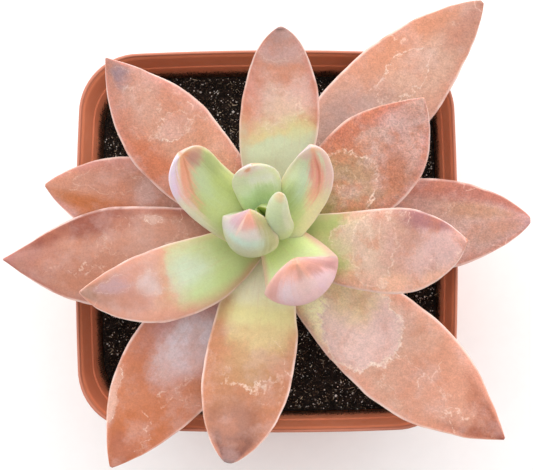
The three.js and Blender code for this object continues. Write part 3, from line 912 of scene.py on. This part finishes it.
LOOKS["leaf_08_front"] = dict(
    # The stem end is the leaf's own pale yellow-green, painted near white: painted light that lifts the
    # shadow of leaf 14 above it.
    upper=(
        (0, "f0fac8"), (0.24, "fcfee4"), (0.37, "e7e2a4"), (0.46, "d8c08e"), (0.55, "c0926a"),
        (0.63, "ad7954"), (0.72, "aa7150"), (0.81, "985f45"), (0.9, "82503f"), (1, "743f35"),
    ),
    under=UNDER_MIDDLE,
    blush="c4856a",
    patches=[
        ("d2b882", 0.4, 0.05, 0.28, 1.15, 0.2, 0.12, 0.34, 0.8),
        ("a87c6e", 0.84, -0.2, 0.1, 0.5, 0.4, 0.6, 0.7, 0),
        ("be7b57", 0.52, -0.85, 0.2, 0.25, 0.7, 0.6, 0.5, 0),
        ("b87a50", 0.66, -0.6, 0.14, 0.4, 0.5, 0.6, 0.6, 0),
        ("b4704a", 0.66, 0.8, 0.16, 0.4, 0.6, 0.6, 0.5, 0),
        ("5c4644", 1.0, 0.0, 0.016, 3, 0.8, 0.5, 0.1, 0),
    ],
)
LOOKS["leaf_09_right_back_top"] = dict(
    upper=(
        (0, "7c8039"), (0.2, "7c7f35"), (0.42, "b09171"), (0.6, "b48571"), (0.85, "daada6"),
        (1, "d3ab9e"),
    ),
    under=UNDER_MIDDLE,
    blush="ca8a7b",
    patches=[
        ("c5765b", 0.66, 0.85, 0.3, 0.34, 0.8, 0.6, 0.4, 0),
        ("bb9a7b", 0.42, 0.02, 0.19, 0.68, 0.7, 0.06, 0.28, 1.2),
        ("958850", 0.28, -0.4, 0.13, 0.7, 0.75, 0.6, 0.5, 0),
        ("c2968a", 0.74, -0.2, 0.14, 0.45, 0.5, 0.5, 0.8, 0.3),
        ("bb785a", 0.66, -0.5, 0.1, 0.3, 0.75, 0.5, 0.8, 0),
        ("cca698", 0.68, 0.3, 0.07, 0.3, 0.7, 0.4, 0.9, 0.4),
        ("be866f", 0.9, 0.0, 0.06, 0.7, 0.4, 0.6, 0.7, 0),
        ("dcb0a4", 0.79, -0.5, 0.06, 0.3, 0.6, 0.6, 0.7, 0),
    ],
)
LOOKS["leaf_10_back"] = dict(
    upper=(
        (0, "b9c393"), (0.3, "c1c2a8"), (0.45, "c6ccae"), (0.52, "d5c495"), (0.6, "d8ad97"),
        (0.72, "dfb3a7"), (0.8, "d4967f"), (0.88, "cda093"), (1, "b8948c"),
    ),
    under=UNDER_MIDDLE,
    blush="c88372",
    patches=[
        ("ddbea9", 0.6, 0.1, 0.09, 0.5, 0.7, 0.5, 0.9, 0.5),
        ("d38a78", 0.62, 0.75, 0.14, 0.3, 0.7, 0.6, 0.5, 0),
        ("cfca96", 0.52, -0.4, 0.06, 0.4, 0.6, 0.6, 0.7, 0),
        ("cea49e", 0.9, 0.0, 0.07, 0.9, 0.75, 0.3, 0.35, 0.25),
        ("b48e86", 0.97, 0.0, 0.05, 1.2, 0.6, 0.6, 0.4, 0),
        ("7a605e", 1.0, 0.0, 0.016, 3, 0.7, 0.5, 0.1, 0),
    ],
)
LOOKS["leaf_11_left_front"] = dict(
    upper=(
        (0, "b6c57f"), (0.3, "c0ce91"), (0.42, "cad2a3"), (0.5, "ccc197"), (0.56, "d3a288"),
        (0.72, "cb9a8d"), (0.92, "b4806d"), (1, "9b6d53"),
    ),
    under=UNDER_MIDDLE,
    blush="d39881",
    patches=[
        ("cad6bd", 0.44, -0.05, 0.1, 0.5, 0.85, 0.6, 0.6, 0),
        ("d2bab6", 0.65, -0.1, 0.06, 0.35, 0.85, 0.5, 0.7, 0.3),
        ("bb989b", 0.82, -0.3, 0.09, 0.4, 0.8, 0.5, 0.7, 0.3),
        ("d89c86", 0.6, 0.9, 0.4, 0.26, 0.8, 0.6, 0.4, 0),
        ("b9ca85", 0.36, 0.5, 0.16, 0.35, 0.6, 0.6, 0.5, 0),
        ("ba7a60", 0.74, 0.3, 0.08, 0.4, 0.5, 0.6, 0.8, 0),
    ],
)
LOOKS["leaf_12_right_top"] = dict(
    upper=(
        (0, "a7bc7c"), (0.2, "a5b876"), (0.34, "afba78"), (0.44, "dac4a2"), (0.52, "d4bda4"),
        (0.62, "c79c88"), (0.74, "be9080"), (0.86, "d2aaa4"), (1, "e3b6af"),
    ),
    under=UNDER_MIDDLE,
    blush="d7a192",
    patches=[
        ("cfbaa3", 0.44, 0.2, 0.1, 0.5, 0.8, 0.2, 0.5, 0.6),
        ("a56d70", 0.8, 0.85, 0.12, 0.35, 0.9, 0.5, 0.6, 0.15),
        ("f4c0a0", 0.55, -0.85, 0.3, 0.3, 0.6, 0.6, 0.5, 0),
        ("cfa99c", 0.54, 0.1, 0.11, 0.85, 0.45, 0.2, 0.5, 0.55),
        ("c0c78c", 0.28, -0.3, 0.14, 0.5, 0.7, 0.6, 0.5, 0),
        ("dab0a7", 0.76, -0.25, 0.08, 0.35, 0.6, 0.4, 0.6, 0),
        ("c39080", 0.66, 0.1, 0.08, 0.4, 0.5, 0.6, 0.8, 0),
    ],
)
LOOKS["leaf_13_upright_left"] = dict(
    upper=(
        (0, "d4dea2"), (0.3, "ced89a"), (0.5, "cad698"), (0.7, "ccd8a8"), (0.88, "ccc8a8"),
        (1, "d4b0a4"),
    ),
    under=((0, "dbe0b4"), (0.4, "e6e2c4"), (0.62, "f2d8e6"), (0.8, "fcd4f6"), (1, "e8b4b8")),
    blush="d4d0a4",
    patches=[
        ("b8c27c", 0.5, -0.5, 0.3, 0.3, 0.5, 0.6, 0.3, 0, 0.3),
        ("d2e0bc", 0.66, -0.05, 0.2, 0.3, 0.5, 0.6, 0.3, 0, -0.6),
        ("d0a4a0", 0.93, -0.5, 0.12, 0.7, 0.9, 0.7, 0.3, 0),
        ("a8b47c", 0.64, -0.76, 0.16, 0.3, 0.85, 0.6, 0.3, 0),
        ("c8968c", 0.86, -0.46, 0.09, 0.34, 0.85, 0.7, 0.3, 0),
        ("dc9068", 0.96, -0.4, 0.05, 0.3, 0.7, 0.7, 0.3, 0),
        ("ccae6c", 0.6, 0.6, 0.12, 0.2, 0.4, 0.7, 0.4, 0),
        ("fcd8f8", 0.72, 0.86, 0.16, 0.25, 0.75, 0.6, 0.3, 0),
        ("fab69a", 0.84, 0.34, 0.28, 0.42, 0.98, 0.7, 0.35, 0, -1.6),
        ("fcdcca", 0.88, 0.5, 0.2, 0.1, 0.85, 0.7, 0.2, 0, -1.3),
        ("dc9070", 0.84, 0.12, 0.2, 0.06, 0.6, 0.7, 0.2, 0, -1.5),
        ("fcdcfa", 0.85, 1.0, 0.3, 0.36, 0.95, 0.35, 0.2, 0, -0.8),
        ("ecead0", 0.5, 1.0, 0.16, 0.25, 0.8, 0.5, 0.2, 0),
    ],
)
LOOKS["leaf_14_upright_front"] = dict(
    upper=(
        (0, "d2dc98"), (0.3, "deeca6"), (0.5, "e2eeb4"), (0.7, "e2e6c0"), (0.9, "e8c0b0"),
        (1, "eeb09c"),
    ),
    under=(
        (0, "d9e0b0"), (0.5, "e2beae"), (0.7, "f6ccce"), (0.82, "fed0ce"), (0.92, "f6c0b4"),
        (1, "de9e88"),
    ),
    blush="e2a8a4",
    patches=[
        ("fae0e8", 0.82, -0.55, 0.09, 0.3, 0.85, 0.7, 0.5, 0),
        ("fed2ce", 0.78, -0.1, 0.08, 0.4, 0.7, 0.7, 0.5, 0),
        ("fed8de", 0.8, 0.55, 0.12, 0.3, 0.8, 0.6, 0.4, 0),
        ("ca9e8e", 0.93, 0.0, 0.1, 0.16, 0.7, 0.7, 0.3, 0),
        ("fcd8d2", 0.86, 0.02, 0.05, 0.3, 0.75, 0.7, 0.5, 0),
        ("b4828c", 0.84, 1.0, 0.12, 0.16, 0.8, 0.5, 0.3, 0),
        ("e8b09a", 0.96, 0.3, 0.05, 0.2, 0.8, 0.6, 0.3, 0),
        ("cc9a96", 0.89, 0.95, 0.12, 0.2, 0.85, 0.5, 0.3, 0),
        ("d69c90", 0.93, 0.6, 0.06, 0.26, 0.85, 0.6, 0.3, 0),
        ("e4aca2", 0.86, -0.92, 0.1, 0.16, 0.8, 0.6, 0.3, 0),
    ],
)
LOOKS["leaf_15_upright_back"] = dict(
    upper=(
        (0, "bcd494"), (0.35, "d4eabc"), (0.5, "effcec"), (0.65, "f4fcf2"), (0.8, "f4fce8"),
        (0.9, "fef0ec"), (1, "f6c6bc"),
    ),
    under=((0, "a9bd78"), (0.8, "c0c898"), (1, "dca890")),
    blush="dce8bc",
    patches=[
        # This darker green patch in the middle of the upper face is painted shade.
        ("b8d08c", 0.42, -0.2, 0.12, 0.4, 0.6, 0.7, 0.5, 0),
        ("e0eed0", 0.62, 0.6, 0.2, 0.3, 0.7, 0.6, 0.5, 0),
        ("fedee0", 0.92, 0.5, 0.13, 0.6, 0.97, 0.7, 0.3, 0),
        ("e69686", 0.92, 0.45, 0.05, 0.25, 0.75, 0.6, 0.3, 0),
    ],
)
LOOKS["leaf_16_upright_right"] = dict(
    upper=(
        (0, "dae2a8"), (0.3, "d2dca0"), (0.45, "e6f2ca"), (0.6, "ecfae0"), (0.78, "e0ecd4"),
        (0.92, "e0dcd0"), (1, "e8c4c0"),
    ),
    under=((0, "e6e6b4"), (0.4, "e4d8c0"), (0.8, "e6cac8"), (1, "e6bab8")),
    blush="dcd6bc",
    patches=[
        ("b4c684", 0.36, 0.2, 0.14, 0.4, 0.7, 0.7, 0.3, 0),
        ("dcecdc", 0.62, 0.22, 0.2, 0.26, 0.7, 0.7, 0.3, 0, 0.6),
        ("f2d6a4", 0.5, -0.45, 0.1, 0.3, 0.7, 0.7, 0.3, 0),
        ("f6aa9e", 0.7, -0.26, 0.26, 0.34, 0.95, 0.7, 0.35, 0, 1.0),
        ("f8ccb4", 0.72, -0.12, 0.2, 0.06, 0.8, 0.7, 0.2, 0, 1.0),
        ("d98a70", 0.68, -0.36, 0.16, 0.05, 0.6, 0.7, 0.2, 0, 1.0),
        ("e8cad0", 0.92, 0.55, 0.1, 0.5, 0.85, 0.6, 0.3, 0),
        ("ecc4c2", 0.76, -0.92, 0.26, 0.3, 0.95, 0.5, 0.2, 0),
        ("f4bcae", 0.98, -0.5, 0.07, 0.8, 0.8, 0.6, 0.3, 0),
        ("e8e0b8", 0.36, -0.85, 0.2, 0.3, 0.8, 0.5, 0.3, 0),
    ],
)
LOOKS["leaf_17_heart_front"] = dict(
    upper=((0, "b8cc84"), (0.6, "c8d8a0"), (1, "e8b8a0")),
    under=(
        (0, "b4c48a"), (0.45, "c2ce9e"), (0.62, "ced6b8"), (0.71, "d0e4d2"), (0.8, "ded6cc"),
        (0.9, "e2aea4"), (1, "d69a86"),
    ),
    blush="d4d4b8",
    patches=[
        ("d4cace", 0.8, -0.85, 0.14, 0.3, 0.75, 0.6, 0.3, 0),
        ("d0aab8", 0.93, -0.75, 0.1, 0.4, 0.85, 0.6, 0.3, 0),
        ("e6a894", 0.95, 0.0, 0.07, 0.5, 0.8, 0.7, 0.35, 0),
        # These two olive patches on the right side are painted shade, the shadow of leaf 18.
        ("b8a478", 0.92, 0.75, 0.1, 0.3, 0.8, 0.6, 0.3, 0),
        ("b0b47c", 0.76, 0.9, 0.16, 0.3, 0.8, 0.6, 0.3, 0),
        ("f0d4ca", 0.88, -0.35, 0.1, 0.08, 0.8, 0.6, 0.2, 0),
    ],
)
LOOKS["leaf_18_heart_right"] = dict(
    upper=((0, "aec480"), (0.6, "bccc98"), (0.92, "c4caa0"), (1, "d0b89c")),
    under=(
        (0, "a6b67c"), (0.4, "bccc9e"), (0.7, "c4d6ae"), (0.92, "ccd6b2"), (0.98, "d6c0a4"),
        (1, "d0b090"),
    ),
    blush="cad4b2",
    patches=[
        ("d4dcc4", 0.78, 0.62, 0.2, 0.22, 0.8, 0.6, 0.3, 0),
    ],
)


def run_of_colour(tree, value, stops):
    """A smooth ramp through (place, colour) stops."""
    made = put(tree, "ShaderNodeValToRGB", {0: value})
    ramp = made.color_ramp
    ramp.interpolation = "EASE"
    while len(ramp.elements) < len(stops):
        ramp.elements.new(0.5)
    for element, (place, code) in zip(ramp.elements, stops):
        element.position = place
        element.color = paint(code)
    return made.outputs[0]


def leaf_skin(name, look, grain):
    """Waxy leaf skin, coloured by where a point lies on its own leaf, smooth near the stem."""
    young = grain < 0.5
    smooth_until, drifting, speckle, clouds = SKINS.get(name, YOUNG_SKIN)
    material, tree, shader, where = new_material(
        name + " skin",
        Specular_IOR_Level=0.36,
        Subsurface_Weight=0.6 if young else 0.25,
        Subsurface_Radius=(1.0, 0.9, 0.5) if young else (1.0, 0.5, 0.3),
        Subsurface_Scale=(3.5 if young else 1.5) * MM,
    )
    along, across, face = (
        put(tree, "ShaderNodeAttribute", attribute_name=key).outputs["Fac"]
        for key in ("along", "across", "face")
    )
    away = sums(tree, "ABSOLUTE", across)
    blush = paint(look["blush"])
    drift = minus(tree, mottle(tree, where, 150, 4, 0.6), 0.5)
    place = plus(tree, along, times(tree, drift, drifting * grain))
    dry = between(tree, place, smooth_until - 0.06, smooth_until + 0.1)

    colour = run_of_colour(tree, place, look["upper"])
    below = between(tree, face, 0.1, -0.15)
    colour = mix(tree, below, colour, run_of_colour(tree, place, look["under"]))
    wavy = plus(tree, away, times(tree, drift, 0.5 * grain))
    flushed = times(tree, between(tree, wavy, 0.66, 0.97, 0, 0.7), between(tree, dry, 0, 1, 0.3))
    colour = mix(tree, flushed, colour, blush)
    for code, middle, side, long, wide, strength, softness, wander, line, *slant in look["patches"]:
        sockets = {
            "Along": along,
            "Across": across,
            "Middle along": middle,
            "Middle across": side,
            "Reach along": long,
            "Reach across": wide,
            "Slant": slant[0] if slant else 0.0,
            "Softness": softness,
            "Wander": wander,
            "Streaks": 1.7 if young else 0.3,
        }
        mark = put(tree, "ShaderNodeGroup", sockets, node_tree=MARK_AND_SHADE_PATCH).outputs
        colour = mix(tree, times(tree, mark["Inside"], strength), colour, paint(code))
        if line:
            crust = times(tree, mark["Line"], 0.75 * line)
            colour = mix(tree, crust, colour, paint("f3e0d0"))

    streak_at = {"X": times(tree, along, 3.0), "Y": times(tree, across, 9.0)}
    streak_at = put(tree, "ShaderNodeCombineXYZ", streak_at).outputs[0]
    streak = between(tree, mottle(tree, streak_at, 1.6, 5, 0.6), 0.5, 0.75, 0, 0.16)
    colour = mix(tree, streak, colour, blush)
    sockets = {
        "Colour": colour,
        "Bloom": paint("d3b2ab"),
        "Warm": paint("c8805f"),
        "Crease colour": paint("f0d9c8"),
        "Grain": between(tree, dry, 0, 1, 0.35 * grain, speckle * 0.8 * grain),
    }
    if not young:
        sockets["Clouds"] = times(tree, dry, 0.42 * clouds)
        sockets["Creases"] = times(tree, dry, 0.4)
    wax = put(tree, "ShaderNodeGroup", sockets, node_tree=WAX_GRAIN).outputs

    # A pale line along each margin: partly the skin's own pale edge, partly a painted highlight where
    # the rounded edge catches the light. Noise breaks it up, and it fades at the tip.
    edge_tint_and_highlight = between(tree, away, 0.925, 0.985, 0, 0.25 if young else 0.7)
    edge_breaks = between(tree, mottle(tree, where, 240, 4), 0.36, 0.58, 0.35, 1)
    tip = between(tree, along, 0.965, 0.99, 1, 0.25)
    colour = mix(tree, times(tree, edge_tint_and_highlight, edge_breaks, tip), wax["Colour"], paint("f6dcd4"))
    rough = between(tree, drift, -0.2, 0.2, 0.42, 0.6)
    finish_with(tree, shader, colour, rough, wax["Height"], 0.3 * grain, 0.2 * MM)
    return material


for place, (name, sizes) in enumerate(LEAF_SIZES.items()):
    leaf = dict(zip(LEAF_COLUMNS, sizes))
    inner = place >= OUTER_LEAVES + MIDDLE_LEAVES
    levels, marks = leaf_blade(leaf, axis_at(SOIL_LEVEL + leaf["height"]))
    soften(levels, YOUNG_SWELL if inner else SWELL, SWELL_SIZE)
    points, faces = loft(levels)
    skin = leaf_skin(name, LOOKS[name], YOUNG_GRAIN if inner else 1.0)
    blade = make_piece(name + "_blade", points, faces, skin, skin_values(marks))
    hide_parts(name)


# The bud. The growing tip of the stem: a small green dome, with the first three tiny leaves
# standing round it and closing over it.
BUD_RADIUS = 1.6
BUD_HEIGHT = 2.2
BUD_SIDES = 40
BUD_SEAT = 0.3
BUD_RINGS = 14
BUD_GRAIN = 0.3
BUD_LEAF_FOOT = 0.45
BUD_LEAF_STEPS = (40, 32)
BUD_LEAF = (5, 3.2, 1.9, 58, 96, 1, 0, 0, 0.6, 0.7, 0.55, 0.35)
BUD_BEARINGS = (75, 195, 315)
BUD_LOOK = dict(
    upper=((0, "84994a"), (0.6, "9cb062"), (1, "b4c280")),
    under=((0, "9fb56c"), (0.6, "b4c88a"), (1, "c4d09c")),
    blush="a9bd78",
    patches=[],
)

foot = axis_at(STEM_TOP) + np.array([0, 0, BUD_SEAT])
turn = np.linspace(0, 2 * np.pi, BUD_SIDES, endpoint=False)
dome = []
for up in np.linspace(0, 0.97, BUD_RINGS):
    r = BUD_RADIUS * math.sqrt(1 - up**2)
    ring = [r * np.cos(turn), r * np.sin(turn), np.full(BUD_SIDES, up * BUD_HEIGHT)]
    dome.append(foot + np.column_stack(ring))
points, faces = loft(dome)
grown, marks = [points], [np.zeros((len(points), 3))]
for bearing in BUD_BEARINGS:
    leaf = dict(zip(LEAF_COLUMNS, (bearing, 0, *BUD_LEAF)))
    base = foot + np.array([0, 0, BUD_LEAF_FOOT * BUD_HEIGHT])
    levels, mark = leaf_blade(leaf, base, *BUD_LEAF_STEPS)
    points, leaf_faces = loft(levels)
    start = sum(len(piece) for piece in grown)
    grown.append(points)
    marks.append(mark)
    faces += [[start + i for i in face] for face in leaf_faces]
values = skin_values(np.vstack(marks))
bud_skin = leaf_skin("bud", BUD_LOOK, BUD_GRAIN)
bud = make_piece("bud_tip", np.vstack(grown), faces, bud_skin, values)
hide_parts("bud")


# The studio. A plain near-white floor, a sky that is plain white to look at and lights the plant
# more from the back, a wide soft light overhead, a weaker one at the back, and a camera looking
# almost straight down on the plant.
FLOOR_HALF = 1.5
SKY_FRONT = 0.15
SKY_BACK = 1.85
LAMP_AIM = Vector((0, 0, 0.06))
CAMERA_AT = Vector((12.1, -13.0, 391.5)) * MM
CAMERA_AIM = Vector((0.1, 1.0, 62.0)) * MM
CAMERA_LENS = 121.9


def soft_light(name, at, size, power):
    """A round white lamp turned to the plant: its place and size in metres, its power in watts."""
    light = bpy.data.lights.new(name, "AREA")
    light.shape = "DISK"
    light.size = size
    light.energy = power
    lamp = bpy.data.objects.new(name, light)
    lamp.location = at
    lamp.rotation_euler = (LAMP_AIM - Vector(at)).to_track_quat("-Z", "Y").to_euler()
    bpy.context.scene.collection.objects.link(lamp)


ground, tree, shader, where = new_material("pale paper", roughness=0.9, Specular_IOR_Level=0.1)
speck = mottle(tree, where, 300, 3)
paper = mix(tree, between(tree, speck, 0.3, 0.7), paint("fefefe"), paint("fcfcfc"))
tree.links.new(paper, shader.inputs["Base Color"])
mesh = bpy.data.meshes.new("studio_floor")
edges = [(-FLOOR_HALF, -FLOOR_HALF, 0), (FLOOR_HALF, -FLOOR_HALF, 0)]
edges += [(FLOOR_HALF, FLOOR_HALF, 0), (-FLOOR_HALF, FLOOR_HALF, 0)]
mesh.from_pydata(edges, [], [(0, 1, 2, 3)])
mesh.materials.append(ground)
floor = bpy.data.objects.new("studio_floor", mesh)
bpy.context.scene.collection.objects.link(floor)
floor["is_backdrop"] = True

world = bpy.data.worlds.new("studio")
world.use_nodes = True
tree = world.node_tree
direction = put(tree, "ShaderNodeTexCoord").outputs["Generated"]
backward = put(tree, "ShaderNodeSeparateXYZ", {0: direction}).outputs["Y"]
front, back = ((level, level, level, 1) for level in (SKY_FRONT, SKY_BACK))
glow = mix(tree, between(tree, backward, -0.9, 0.9), front, back)
seen = put(tree, "ShaderNodeLightPath").outputs["Is Camera Ray"]
glow = mix(tree, seen, glow, (1, 1, 1, 1))
tree.links.new(glow, tree.nodes["Background"].inputs["Color"])
bpy.context.scene.world = world
soft_light("overhead", (0, 0, 0.95), 0.7, 1.8)
soft_light("back", (0, 0.5, 0.75), 0.5, 1.2)
bpy.context.scene.view_settings.view_transform = "Standard"

forward = (CAMERA_AIM - CAMERA_AT).normalized()
right = forward.cross(Vector((0, 1, 0))).normalized()
upward = right.cross(forward)
camera = bpy.data.objects.new("camera", bpy.data.cameras.new("camera"))
camera.data.lens = CAMERA_LENS
camera.data.sensor_width = 36
camera.data.clip_start = 0.01
turned = Matrix((right, upward, -forward)).transposed().to_4x4()
camera.matrix_world = Matrix.Translation(CAMERA_AT) @ turned
bpy.context.scene.collection.objects.link(camera)
bpy.context.scene.camera = camera

corners = lambda box: [[float(c) for c in corner] for corner in box]
{"cad": corners(cad_box), "visual": corners(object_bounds())}
